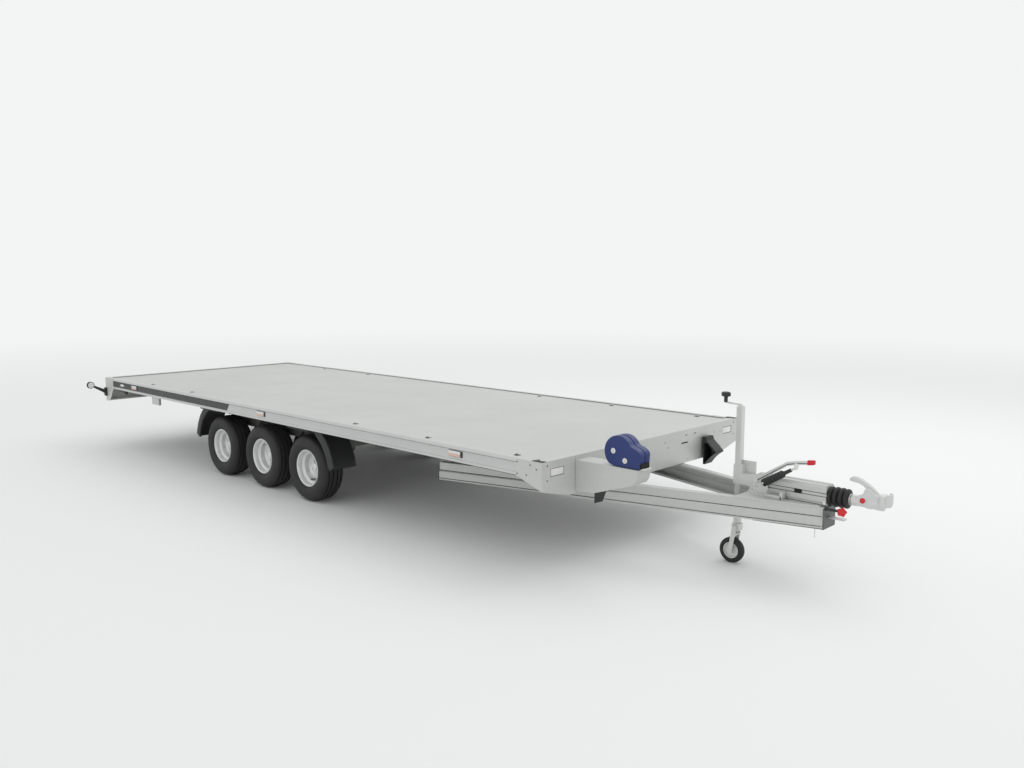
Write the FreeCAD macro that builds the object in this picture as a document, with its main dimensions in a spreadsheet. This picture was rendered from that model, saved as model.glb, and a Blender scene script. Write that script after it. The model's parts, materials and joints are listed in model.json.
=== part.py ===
import FreeCAD, Part
import math
import os
import Sketcher

# Tri-axle flatbed trailer on its jockey wheel, in millimetres
# Frame: +X forward to the coupling, +Y to the trailer's left, +Z up, floor at Z 0

V = FreeCAD.Vector
Rot = FreeCAD.Rotation
doc = FreeCAD.newDocument("flatbed_trailer")
sheet = doc.addObject("Spreadsheet::Sheet", "Dims")
nodes = []


class Dim:
    """A length that keeps both its number and the sheet expression that gives it."""

    def __init__(self, text, value):
        self.text = text
        self.value = float(value)

    def _join(self, other, sign, value):
        return Dim("(" + self.text + " " + sign + " " + dim(other).text + ")", value)

    def __add__(self, o):
        return self._join(o, "+", self.value + dim(o).value)

    def __sub__(self, o):
        return self._join(o, "-", self.value - dim(o).value)

    def __mul__(self, o):
        return self._join(o, "*", self.value * dim(o).value)

    def __truediv__(self, o):
        return self._join(o, "/", self.value / dim(o).value)

    def __neg__(self):
        return Dim("(0 - " + self.text + ")", -self.value)

    def __radd__(self, o):
        return dim(o) + self

    def __rsub__(self, o):
        return dim(o) - self

    def __rmul__(self, o):
        return dim(o) * self


def dim(v):
    if isinstance(v, Dim):
        return v
    return Dim(repr(round(float(v), 6)), v)


def cell(row, alias, value, note):
    sheet.set("A%d" % row, alias)
    sheet.set("B%d" % row, str(value))
    sheet.set("C%d" % row, note)
    sheet.setAlias("B%d" % row, alias)
    return Dim("Dims." + alias, value)


TABLE = [
    ("bed_length", 6122, "outside length of the bed"),
    ("bed_width", 2200, "outside width of the bed"),
    ("bed_height", 710, "top of the side rails above the floor"),
    ("rail_depth", 104, "height of the side rail section"),
    ("rail_flange", 42, "width of the rail's flanges"),
    ("sheet_wall", 4, "wall of the rails, panels and beams"),
    ("deck_thick", 18, "deck board"),
    ("deck_drop", 8, "deck surface below the rail tops"),
    ("front_depth", 232, "height of the front panel in the middle"),
    ("front_corner_depth", 172, "height of the front panel at its corners"),
    ("corner_length", 202, "length of the front corner plates"),
    ("rear_depth", 243, "height of the rear panel"),
    ("rear_top", 190, "length of the rear panel's top and ends"),
    ("tyre_radius", 266, "outside radius of a tyre"),
    ("wheel_outer", 1000, "tyre's outer face from the middle plane"),
    ("tyre_half", 95, "half the tyre's width"),
    ("rim_radius", 141, "bead seat of the rims"),
    ("rear_axle", 2214, "rear axle from the rear panel"),
    ("axle_pitch", 668, "distance from axle to axle"),
    ("guard_radius", 367, "inside radius of the mudguards"),
    ("frame_rail", 520, "inner face of the long frame rails from the middle"),
    ("frame_rail_width", 60, "width of the long frame rails"),
    ("beam_bottom", 352, "underside of the drawbar beams"),
    ("beam_height", 120, "height of the drawbar beams"),
    ("beam_flange", 60, "width of the drawbar beams"),
    ("beam_length", 2575, "length of the drawbar beams"),
    ("beam_setback", 354, "front end of the beams behind the coupling's tip"),
    ("beam_front_half", 71, "outer face of the beams at the front from the middle"),
    ("nose_reach", 1569, "tip of the coupling from the front panel"),
    ("coupling_height", 530, "axis of the coupling shaft above the floor"),
    ("shaft_radius", 25, "coupling shaft"),
    ("post_setback", 929, "jockey post axis behind the coupling's tip"),
    ("post_side", 40, "outside of the square jockey post"),
    ("jockey_radius", 80, "jockey wheel"),
    ("jockey_half", 23, "half the jockey wheel's width"),
    ("jockey_trail", 30, "jockey wheel centre behind the post axis"),
    ("fold_height", 232, "fold pin of the jockey fork above the floor"),
    ("pedestal_side", 800, "outer face of the winch pedestal from the middle"),
    ("pedestal_width", 130, "width of the winch pedestal"),
    ("stalk_reach", 45, "how far the stalk lamps reach behind the panel"),
]
D = {}
for number, (alias, value, note) in enumerate(TABLE):
    D[alias] = cell(number + 1, alias, value, note)
doc.recompute()

L = D["bed_length"]
W2 = D["bed_width"] / 2
H = D["bed_height"]
T = D["sheet_wall"]
XO = (L + D["nose_reach"] - D["stalk_reach"]) / 2


def bx(v):
    """X in the trailer's frame of a point v from the rear panel's back face."""
    return dim(v) - XO


def fx(v):
    """X in the trailer's frame of a point v ahead of the front panel's face."""
    return L + v - XO


def tx(v):
    """X in the trailer's frame of a point v behind the coupling's tip."""
    return L + D["nose_reach"] - v - XO


def put(obj, prop, v):
    """Sets a property to a number, and binds it to the sheet where it is driven."""
    v = dim(v)
    if "Dims." in v.text:
        obj.setExpression(prop, v.text)
        return
    head, _, tail = prop.partition(".")
    if not tail:
        setattr(obj, prop, v.value)


def place(obj, x, y, z, rot=None):
    rot = rot or Rot()
    x, y, z = dim(x), dim(y), dim(z)
    obj.Placement = FreeCAD.Placement(V(x.value, y.value, z.value), rot)
    put(obj, "Placement.Base.x", x)
    put(obj, "Placement.Base.y", y)
    put(obj, "Placement.Base.z", z)
    return obj


def box(name, x0, x1, y0, y1, z0, z1):
    """Block between two corners."""
    b = doc.addObject("Part::Box", name)
    put(b, "Length", dim(x1) - x0)
    put(b, "Width", dim(y1) - y0)
    put(b, "Height", dim(z1) - z0)
    b.Length = (dim(x1) - x0).value
    b.Width = (dim(y1) - y0).value
    b.Height = (dim(z1) - z0).value
    return place(b, x0, y0, z0)


ALONG_X = Rot(V(0, 1, 0), 90)
ALONG_NEG_Y = Rot(V(1, 0, 0), 90)


def cyl(name, radius, length, x, y, z, rot=None, angle=360):
    """Cylinder from its base point; rot turns its own Z."""
    c = doc.addObject("Part::Cylinder", name)
    c.Radius = dim(radius).value
    c.Height = dim(length).value
    c.Angle = angle
    put(c, "Radius", radius)
    put(c, "Height", length)
    return place(c, x, y, z, rot)


def rod(name, radius, p0, p1, radius_end=None):
    """Round bar, or a taper, from p0 to p1: lists of X, Y, Z."""
    a = [dim(v) for v in p0]
    b = [dim(v) for v in p1]
    run = V(*[q.value - p.value for p, q in zip(a, b)])
    rot = Rot(V(0, 0, 1), run)
    if radius_end is None:
        c = doc.addObject("Part::Cylinder", name)
        c.Radius = radius
    else:
        c = doc.addObject("Part::Cone", name)
        c.Radius1 = radius
        c.Radius2 = radius_end
    c.Height = run.Length
    return place(c, a[0], a[1], a[2], rot)


def ball(name, radius, x, y, z):
    s = doc.addObject("Part::Sphere", name)
    s.Radius = dim(radius).value
    return place(s, x, y, z)


def fuse(name, parts):
    f = doc.addObject("Part::MultiFuse", name)
    f.Shapes = parts
    f.Refine = True
    return f


def cut(name, base, tool):
    c = doc.addObject("Part::Cut", name)
    c.Base = base
    c.Tool = tool
    c.Refine = True
    return c


def mirror(name, source):
    """The same piece on the other side of the middle plane."""
    m = doc.addObject("Part::Mirroring", name)
    m.Source = source
    m.Base = V(0, 0, 0)
    m.Normal = V(0, 1, 0)
    return m


def rounded(name, source, radius, pick):
    """Rounds the edges that pick chooses from their middle point and direction."""
    doc.recompute()
    chosen = []
    for number, edge in enumerate(source.Shape.Edges):
        ends = [v.Point for v in edge.Vertexes]
        if len(ends) == 2 and pick((ends[0] + ends[1]) * 0.5, ends[1] - ends[0]):
            chosen.append((number + 1, radius, radius))
    f = doc.addObject("Part::Fillet", name)
    f.Base = source
    f.Edges = chosen
    return f


def sketch_in(body, name, points):
    """Closed outline whose corners are all placed from the origin."""
    sk = body.newObject("Sketcher::SketchObject", name)
    plane = [f for f in body.Origin.OriginFeatures if f.Role == "XY_Plane"][0]
    sk.AttachmentSupport = [(plane, "")]
    sk.MapMode = "FlatFace"
    pts = [(dim(u), dim(v)) for u, v in points]
    count = len(pts)
    for i in range(count):
        a, b = pts[i], pts[(i + 1) % count]
        line = Part.LineSegment(V(a[0].value, a[1].value, 0), V(b[0].value, b[1].value, 0))
        sk.addGeometry(line, False)
    for i in range(count):
        sk.addConstraint(Sketcher.Constraint("Coincident", i, 2, (i + 1) % count, 1))
    for i in range(count):
        for kind, d in (("DistanceX", pts[i][0]), ("DistanceY", pts[i][1])):
            n = sk.addConstraint(Sketcher.Constraint(kind, -1, 1, i, 1, d.value))
            if "Dims." in d.text:
                sk.setExpression("Constraints[%d]" % n, d.text)
    return sk


TO_X = Rot(V(1, 1, 1), 120)
TO_NEG_Y = Rot(V(1, 0, 0), 90)


def pad(name, points, length, x, y, z, rot=None):
    """Padded outline. TO_X: outline in Y, Z, padded along +X. TO_NEG_Y: outline in X, Z, padded along -Y."""
    body = doc.addObject("PartDesign::Body", name)
    sk = sketch_in(body, name + "_outline", points)
    p = body.newObject("PartDesign::Pad", name + "_pad")
    p.Profile = sk
    p.Length = dim(length).value
    put(p, "Length", length)
    sk.Visibility = False
    return place(body, x, y, z, rot)


def turned(name, points, x, y, z, rot=None):
    """Outline of (along the axis, radius) turned about the body's own X."""
    body = doc.addObject("PartDesign::Body", name)
    sk = sketch_in(body, name + "_outline", points)
    r = body.newObject("PartDesign::Revolution", name + "_turn")
    r.Profile = sk
    r.ReferenceAxis = (sk, ["H_Axis"])
    r.Angle = 360
    sk.Visibility = False
    return place(body, x, y, z, rot)


def node(label, obj):
    obj.Label = label
    nodes.append((label, obj))
    return obj


# Side rails: a channel with a recessed face, tie-down eyes on top and a leg socket below

rd, rf = D["rail_depth"], D["rail_flange"]
rail_x0, rail_x1 = bx(D["rear_top"]), fx(-1 * D["corner_length"])
rail_sec = [(0, 0), (rf, 0), (rf, T), (T + 5, T), (T + 5, rd - T), (rf, rd - T), (rf, rd), (0, rd),
            (0, rd - 14), (5, rd - 16), (5, 9), (0, 7)]
rail = pad("rail_channel", rail_sec, rail_x1 - rail_x0, rail_x0, -W2, H - rd, TO_X)
rail_bits = [rail]
for i in range(7):
    x = bx(970) + i * (L - 1192) / 6
    rail_bits.append(box("eye_%d" % i, x - 17, x + 17, -W2 + 10, -W2 + 30, H - 2, H + 5))
rail_bits.append(box("socket_face", bx(1040), bx(1190), -W2 + 22, -W2 + 27, H - rd - 76, H - rd + 2))
rail_bits.append(box("socket_side_a", bx(1040), bx(1045), -W2 + 22, -W2 + 42, H - rd - 76, H - rd + 2))
rail_bits.append(box("socket_side_b", bx(1185), bx(1190), -W2 + 22, -W2 + 42, H - rd - 76, H - rd + 2))
rail_right = node("side_rail_right", fuse("rail_right", rail_bits))
node("side_rail_left", mirror("rail_left", rail_right))

# Front panel with folded-back corner plates, and rear panel with its ends

fd, fcd, cl = D["front_depth"], D["front_corner_depth"], D["corner_length"]
front_out = [(-W2, H - fcd), (-W2 + 250, H - fd), (W2 - 250, H - fd), (W2, H - fcd), (W2, H), (-W2, H)]
front_sheet = pad("front_sheet", front_out, T, fx(0) - T, 0, 0, TO_X)
skirt_out = [(-1 * cl, H - rd), (0, H - fcd), (0, H), (-1 * cl, H)]
skirt_r = pad("skirt_right", skirt_out, T, fx(0), -W2 + T, 0, TO_NEG_Y)
skirt_l = pad("skirt_left", skirt_out, T, fx(0), W2, 0, TO_NEG_Y)
front_bits = [front_sheet, skirt_r, skirt_l,
              box("front_top", fx(-60), fx(0), -W2, W2, H - T, H),
              box("corner_top_r", fx(-1 * cl), fx(0), -W2, -W2 + rf, H - T, H),
              box("corner_top_l", fx(-1 * cl), fx(0), W2 - rf, W2, H - T, H),
              box("front_lip", fx(-40), fx(0), -W2 + 250, W2 - 250, H - fd, H - fd + T)]
front_cuts = []
for i, side in enumerate((-1, 1)):
    y0 = -W2 + 76 if side < 0 else W2 - 196
    front_cuts.append(box("marker_slot_%d" % i, fx(-20), fx(20), y0, y0 + 120, H - 96, H - 46))
for i, (y, z) in enumerate(((-84, 52), (149, 58), (186, 98), (427, 211), (779, 65), (863, 69), (869, 174))):
    front_cuts.append(cyl("panel_hole_%d" % i, 5, 40, fx(-20), y, H - z, ALONG_X))
for i, (y, z, long, tall) in enumerate(((394, 41, 30, 6), (508, 41, 30, 6), (352, 95, 82, 10))):
    front_cuts.append(box("panel_slot_%d" % i, fx(-20), fx(20), y, y + long, H - z, H - z + tall))
node("front_panel", cut("front_panel_cut", fuse("front_panel_all", front_bits), fuse("front_cuts", front_cuts)))

rr, rt = D["rear_depth"], D["rear_top"]
rear_sec = [(0, H - rr), (28, H - rr), (28, H - rr + 18), (24, H - rr + 18), (24, H - rr + T), (T, H - rr + T),
            (T, H - T), (48, H - T), (48, H), (0, H)]
rear_sheet = pad("rear_sheet", rear_sec, 2 * W2, bx(0), W2, 0, TO_NEG_Y)
end_out = [(0, H - rr), (28, H - rr), (100, H - rr + 18), (rt, H - rd), (rt, H), (0, H)]
end_r = pad("rear_end_right", end_out, T, bx(0), -W2 + T, 0, TO_NEG_Y)
end_l = pad("rear_end_left", end_out, T, bx(0), W2, 0, TO_NEG_Y)
rear_bits = [rear_sheet, end_r, end_l,
             box("rear_corner_top_r", bx(0), bx(rt), -W2, -W2 + rf, H - T, H),
             box("rear_corner_top_l", bx(0), bx(rt), W2 - rf, W2, H - T, H)]
node("rear_panel", fuse("rear_panel_all", rear_bits))
lamp_r = box("lamp_r", bx(-16), bx(0), -W2 + 50, -W2 + 270, H - 165, H - 75)
node("rear_lamp_right", lamp_r)
node("rear_lamp_left", mirror("lamp_l", lamp_r))

# Deck board and the ladder frame under it

deck_top = H - D["deck_drop"]
deck_low = deck_top - D["deck_thick"]
node("deck", box("deck_board", bx(6), fx(-6), -W2 + 14, W2 - 14, deck_low, deck_top))
fr, fw = D["frame_rail"], D["frame_rail_width"]
member_low = H - rd + T
mh = deck_low - member_low
member_sec = [(-25, 0), (25, 0), (25, T), (T - 25, T), (T - 25, mh - T), (25, mh - T), (25, mh), (-25, mh)]
members = []
for i in range(8):
    x = bx(280) + i * (L - 530) / 7
    members.append(pad("member_%d" % i, member_sec, 2 * W2 - 18, x, W2 - 9, member_low, TO_NEG_Y))
node("cross_members", fuse("members_all", members))
beam_top = D["beam_bottom"] + D["beam_height"]
saddle_x = tx(2164)
hanger_x = bx(280) + 6 * (L - 530) / 7
rail_in = [(-1 * fr, 0), (-1 * (fr + fw), 0), (-1 * (fr + fw), 5), (-1 * (fr + 5), 5), (-1 * (fr + 5), 75),
           (-1 * (fr + fw), 75), (-1 * (fr + fw), 80), (-1 * fr, 80)]
long_rail = fuse("long_rail", [pad("long_rail_channel", rail_in, L - 460, bx(250), 0, member_low - 80, TO_X),
                               box("saddle", saddle_x, saddle_x + 150, -1 * (fr + fw), -1 * fr, beam_top,
                                   member_low - 76)])
node("frame_rail_right", long_rail)
node("frame_rail_left", mirror("long_rail_left", long_rail))
hangers = [box("hanger_r", hanger_x - 25, hanger_x + 25, -697, -650, beam_top, member_low),
           box("hanger_l", hanger_x - 25, hanger_x + 25, 650, 697, beam_top, member_low)]
node("beam_hangers", fuse("hangers_all", hangers))

# Drawbar: two rolled beams that meet at the front, and the head that ties them

alpha = math.atan2(0.2773, 1)
ca, sa = math.cos(alpha), math.sin(alpha)
bh, bf, bl = D["beam_height"], D["beam_flange"], D["beam_length"]
front_x, front_y = tx(D["beam_setback"]), -1 * D["beam_front_half"]
beam_sec = [(0, 0), (bf, 0), (bf, 14), (bf - T, 14), (bf - T, T), (T, T), (T, bh / 2 - 2), (8 + T, bh / 2 + 6),
            (8 + T, bh - T), (bf - T, bh - T), (bf - T, bh - 14), (bf, bh - 14), (bf, bh), (8, bh),
            (8, bh / 2 + 6), (0, bh / 2 - 2), (0, 10), (-6, 8), (-6, 0)]
beam_rot = Rot(V(0, 0, 1), math.degrees(alpha)).multiply(TO_X)
beam_bar = pad("beam_bar", beam_sec, bl + 20, front_x - bl * ca, front_y - bl * sa, D["beam_bottom"], beam_rot)
beam = cut("beam_right", beam_bar, box("beam_trim", front_x, front_x + 60, front_y - 60, front_y + 140,
                                       D["beam_bottom"] - 20, beam_top + 20))
node("drawbar_beam_right", beam)
node("drawbar_beam_left", mirror("beam_left", beam))

bb = D["beam_bottom"]
plate_top = beam_top + 8


def wide(v):
    """Half width of the drawbar, v behind the coupling's tip."""
    return D["beam_front_half"] + (v - D["beam_setback"]) * 0.2773


head_top = pad("head_top", [(tx(841), -1 * wide(841)), (tx(377), -1 * wide(377)), (tx(377), wide(377)),
                            (tx(841), wide(841))], 8, 0, 0, beam_top)
node("drawbar_head", head_top)
head_low = pad("head_low", [(tx(739), -1 * wide(739) + 12), (front_x, front_y), (front_x, -front_y),
                            (tx(739), wide(739) - 12)], 7, 0, 0, bb - 7)
head_bits = [head_low,
             box("head_nose", front_x, front_x + 6, -77, 77, bb - 7, beam_top - 6),
             box("head_shelf", front_x + 4, front_x + 98, -20, 20, bb + 50, bb + 56)]
node("drawbar_nose", fuse("head_all", head_bits))

# Overrun housing, bellows, shaft, coupling head and its handle

ch, sr = D["coupling_height"], D["shaft_radius"]
run = 0.05
house_sec = [(-47, 0), (47, 0), (47, 12), (52, 16), (52, 44), (46, 48), (46, 68), (52, 72), (52, 98), (40, 114),
             (16, 114), (14, 110), (-14, 110), (-16, 114), (-40, 114), (-52, 98), (-52, 72), (-46, 68), (-46, 48),
             (-52, 44), (-52, 16), (-47, 12)]
house = pad("housing_block", house_sec, 390, tx(741), 0, plate_top, TO_X)
house_bore = cyl("housing_bore", sr + run, 320, tx(661), 0, ch, ALONG_X)
node("overrun_housing", cut("housing_cut", house, house_bore))
bel = [(0, sr + run), (0, 47), (7, 57), (20, 57), (29, 45), (38, 58), (51, 58), (60, 45), (69, 58), (82, 58),
       (91, 45), (100, 57), (112, 54), (120, 36), (126, 33), (126, sr + run)]
node("bellows", turned("bellows_body", bel, tx(351), 0, ch))
node("coupling_shaft", cyl("shaft", sr, 520, tx(651), 0, ch, ALONG_X))
nx = tx(44)
neck = turned("neck", [(0, 0), (0, 31), (6, 33), (60, 30), (150, 34), (150, 0)], tx(224), 0, ch)
TO_Z = Rot(V(0, 1, 0), -90)
cup = turned("cup", [(-10, 0), (-10, 41), (-6, 44), (4, 44), (8, 41), (52, 39), (62, 34), (66, 22), (66, 0)], nx, 0, ch,
             TO_Z)
throat_out = [(-150, ch - 24), (-102, ch - 18), (-88, ch - 30), (-36, ch - 28), (-24, ch - 10), (0, ch - 8),
              (0, ch + 58), (-24, ch + 52), (-52, ch + 64), (-76, ch + 84), (-94, ch + 84), (-104, ch + 74),
              (-110, ch + 42), (-150, ch + 30)]
throat_cast = pad("throat_block", throat_out, 58, nx, 29, 0, TO_NEG_Y)
throat = rounded("throat", throat_cast, 5, lambda mid, run_dir: abs(abs(mid.y) - 29) < 0.1)
head = fuse("coupling_solid", [neck, cup, throat])
ball_mid = ch + 2
hollow = fuse("coupling_hollow", [ball("ball_seat", 25.3, nx, 0, ball_mid),
                                  cyl("ball_mouth", 25.3, 40, nx, 0, ball_mid - 40),
                                  cyl("shaft_seat", sr + run, 95, tx(226), 0, ch, ALONG_X),
                                  box("handle_slot", nx - 118, nx - 20, -13.5, 13.5, ch + 42, ch + 90)])
node("coupling_head", cut("coupling_cut", head, hollow))
handle_out = [(-92, ch + 42), (-26, ch + 42), (-26, ch + 62), (-52, ch + 89), (-76, ch + 111), (-106, ch + 127),
              (-140, ch + 136), (-165, ch + 136), (-185, ch + 128), (-196, ch + 112), (-192, ch + 102),
              (-154, ch + 99), (-116, ch + 86), (-96, ch + 68)]
node("coupling_handle", pad("handle", handle_out, 26, nx, 13, 0, TO_NEG_Y))
ky, kz = -62, bb + 116
knob_bits = [turned("knob_stem", [(0, 0), (0, 11), (8, 8), (88, 8), (92, 13), (96, 13), (96, 0)], front_x + 6, ky, kz),
             cyl("knob_core", 22, 20, front_x + 100, ky, kz, ALONG_X)]
for i in range(5):
    turn = math.radians(90 + 72 * i)
    knob_bits.append(cyl("knob_lobe_%d" % i, 9.5, 18, front_x + 101, ky + 18 * math.cos(turn), kz + 18 * math.sin(turn),
                         ALONG_X))
node("locking_knob", fuse("knob_all", knob_bits))

# Handbrake: bracket, lever and its boot on the right of the housing

plate_out = [(-800, 0), (-704, 0), (-704, 56), (-711, 92), (-725, 124), (-730, 134), (-752, 134), (-786, 114),
             (-800, 94)]
tip_x = tx(0)
hb_plate = pad("hb_plate", plate_out, 10, tip_x, -52, plate_top, TO_NEG_Y)
hb_window = cyl("hb_window", 11, 30, tx(776), -45, plate_top + 44, ALONG_NEG_Y)
hb_foot = box("hb_foot", tx(800), tx(704), -88, -52, plate_top, plate_top + 6)
node("handbrake_bracket", cut("hb_bracket", fuse("hb_bracket_all", [hb_plate, hb_foot]), hb_window))
lever_out = [(-788, 59), (-770, 72), (-578, 201), (-523, 216), (-414, 232), (-414, 254), (-523, 238), (-579, 225),
             (-785, 95), (-792, 80)]
lever_bits = [pad("lever_bar", lever_out, 14, tip_x, -67, plate_top, TO_NEG_Y),
              cyl("lever_boss", 12, 6, tx(772), -62, plate_top + 84, ALONG_NEG_Y),
              pad("lever_grip", [(-454, 224), (-412, 229), (-412, 257), (-454, 251)], 20, tip_x, -64, plate_top,
                  TO_NEG_Y)]
node("handbrake_lever", fuse("hb_lever", lever_bits))
boot_out = [(0, 0), (0, 13), (4, 19)]
for i in range(7):
    boot_out += [(8 + 18 * i, 20), (17 + 18 * i, 20), (20 + 18 * i, 16), (23 + 18 * i, 16)]
boot_out += [(134, 19), (142, 19), (146, 11), (196, 10), (198, 6), (206, 6), (206, 0)]
boot_bits = [turned("boot_body", boot_out, tx(728), -84, plate_top + 70, Rot(V(0, 1, 0), -31.5)),
             cyl("boot_pin", 6, 12, tx(716), -62, plate_top + 77, ALONG_NEG_Y),
             pad("boot_link", [(-566, 162), (-541, 164), (-526, 215.1), (-551, 208.3)], 8, tip_x, -70, plate_top,
                 TO_NEG_Y)]
node("handbrake_spring", fuse("hb_boot", boot_bits))

# Jockey wheel: post, clamp and crank on the drawbar; tube, yoke, fork and wheel below

px, ps = tx(D["post_setback"]), D["post_side"]
fh = D["fold_height"]
post_low, post_high = fh + 273, 985
post_bar = box("post_outer", px - ps / 2, px + ps / 2, -1 * ps / 2, ps / 2, post_low, post_high)
post = rounded("post_round", post_bar, 6, lambda mid, run_dir: abs(run_dir.z) > 100)
post_hole = box("post_hole", px - ps / 2 + 2.6, px + ps / 2 - 2.6, -1 * ps / 2 + 2.6, ps / 2 - 2.6, post_low - 5, 975)
post_window = box("post_window", px + 10, px + 30, -8, 8, plate_top + 158, plate_top + 176)
node("jockey_post", cut("post_cut", post, fuse("post_openings", [post_hole, post_window])))
clamp = fuse("clamp_solid", [box("clamp_sleeve", px - 24, px + 22, -24, 24, plate_top + 30, plate_top + 150),
                             box("clamp_block", px + 20, px + 108, -30, 30, plate_top + 30, plate_top + 98),
                             box("clamp_web", px + 88, px + 108, -30, 30, plate_top, plate_top + 98),
                             box("clamp_strip", px + 20, px + 38, -30, 30, plate_top + 90, plate_top + 150),
                             box("clamp_ear", px + 20, px + 104, 14, 24, plate_top + 90, plate_top + 174),
                             box("clamp_foot", px + 88, px + 126, -56, 46, plate_top, plate_top + 8)])
clamp_hole = box("clamp_hole", px - ps / 2, px + ps / 2, -1 * ps / 2, ps / 2, plate_top - 5, plate_top + 200)
node("jockey_clamp", cut("clamp_cut", clamp, clamp_hole))
crank = fuse("crank_all", [cyl("crank_stem", 9, 18, px, 0, post_high),
                           rod("crank_arm", 5, [px + 6, 0, post_high + 10], [px - 108, 0, post_high + 16]),
                           turned("crank_grip", [(0, 0), (0, 9), (4, 12), (34, 12), (38, 17), (42, 26), (58, 28),
                                                 (64, 25), (66, 20), (66, 0)], px - 104, 0, post_high + 14, TO_Z)])
node("jockey_crank", crank)
node("jockey_tube", box("inner_tube", px - 17, px + 17, -17, 17, fh + 26, fh + 468))
jr, jt = D["jockey_radius"], D["jockey_trail"]
wx = px - jt
fork_out = [(-14, jr - 12), (14, jr - 12), (14 + jt, fh + 14), (-14 + jt, fh + 14)]
fork_bits = [box("fork_head", px - 24, px + 24, -24, 24, fh - 18, fh + 25.7),
             cyl("fork_pin", 8, 72, px, 36, fh, ALONG_NEG_Y),
             pad("fork_right", fork_out, 6, wx, -29, 0, TO_NEG_Y),
             pad("fork_left", fork_out, 6, wx, 35, 0, TO_NEG_Y),
             box("fork_bridge", px - 22, px + 6, -35, 35, fh - 50, fh - 42),
             box("fork_cheek_r", px - 20, px + 14, -30, -23, fh - 18, fh + 14),
             box("fork_cheek_l", px - 20, px + 14, 23, 30, fh - 18, fh + 14),
             cyl("fork_axle", 8, 70, wx, 35, jr, ALONG_NEG_Y)]
node("jockey_fork", fuse("fork_solid", fork_bits))
jh = D["jockey_half"]
wheel_out = [(-1 * jh, 8.05), (jh, 8.05), (jh, 22), (jh - 10, 28), (jh - 10, 44), (jh - 3, 50), (jh, 70),
             (jh - 7, jr), (7 - jh, jr), (-1 * jh, 70), (3 - jh, 50), (10 - jh, 44), (10 - jh, 28), (-1 * jh, 22)]
node("jockey_wheel", turned("jockey_roller", wheel_out, wx, 0, jr, Rot(V(0, 0, 1), -90)))

# Winch pedestal and cover, the wheel chock, and the pad under the pedestal

py, pw = -1 * D["pedestal_side"], D["pedestal_width"]
ped_out = [(0, H - 217), (148, H - 205), (230, H - 178), (365, H - 134), (424, H - 114), (442, H - 88),
           (451, H - 56), (455, H - 25), (0, H - 25)]
ped_in = [(T, 300), (408, 300), (408, H - 112), (420, H - 108), (438, H - 86), (447, H - 56), (450, H - 25 - T),
          (T, H - 25 - T)]
ped = pad("pedestal_outer", ped_out, pw, fx(0), py + pw, 0, TO_NEG_Y)
ped_hollow = pad("pedestal_inner", ped_in, pw - 2 * T, fx(0), py + pw - T, 0, TO_NEG_Y)
node("winch_pedestal", cut("pedestal_cut", ped, ped_hollow))
cover_wide = pw - 25
cover_y = py + pw - 15
drum = cyl("cover_drum", 97, cover_wide, fx(303), cover_y, H + 60, ALONG_NEG_Y)
snout_out = [(278, H - 25), (453, H - 25), (461, H + 60), (456, H + 72), (440, H + 84), (418, H + 90), (398, H + 102),
             (378, H + 122), (303, H + 130)]
snout = pad("cover_snout", snout_out, cover_wide, fx(0), cover_y, 0, TO_NEG_Y)
cover_trim = box("cover_trim", fx(100), fx(500), py - 40, py + 220, H - 120, H - 25)
cover = cut("cover_cut", fuse("cover_solid", [drum, snout]), cover_trim)
seam = cut("cover_seam", cyl("seam_disc", 120, 5, fx(303), py + 64, H + 60, ALONG_NEG_Y),
           cyl("seam_core", 91, 9, fx(303), py + 66, H + 60, ALONG_NEG_Y))
mouth = box("cover_mouth", fx(425), fx(470), py + 22, py + pw - 27, H - 30, H + 8)
node("winch_cover", cut("cover_all", cover, fuse("cover_cuts", [seam, mouth])))
node("pedestal_pad", pad("pad_block", [(147, H - 267), (203, H - 246), (230, H - 178), (148, H - 205)],
                         8, fx(0), py + 8, 0, TO_NEG_Y))
chock_out = [(22, H - 268), (30, H - 272), (38, H - 270), (128, H - 184), (126, H - 172), (118, H - 162),
             (48, H - 98), (42, H - 74), (14, H - 74), (14, H - 104), (22, H - 112)]
chock_in = [(30, H - 256), (40, H - 256), (106, H - 184), (106, H - 172), (52, H - 116), (30, H - 116)]
chock_low = H - 406
chock = pad("chock_block", chock_out, 100, fx(0), 700, 0, TO_NEG_Y)
chock_tools = [pad("chock_hollow", chock_in, 90, fx(0), 690, 0, TO_NEG_Y),
               cyl("chock_curve", 266, 120, fx(265), 710, chock_low, ALONG_NEG_Y)]
chock_shape = cut("chock_cut", chock, fuse("chock_tools", chock_tools))
chock_rest = box("chock_rest", fx(0), fx(24), 630, 670, H - 210, H - 120)
node("wheel_chock", fuse("chock_all", [chock_shape, chock_rest]))

# Axles with their arms, and the six wheels

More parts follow.
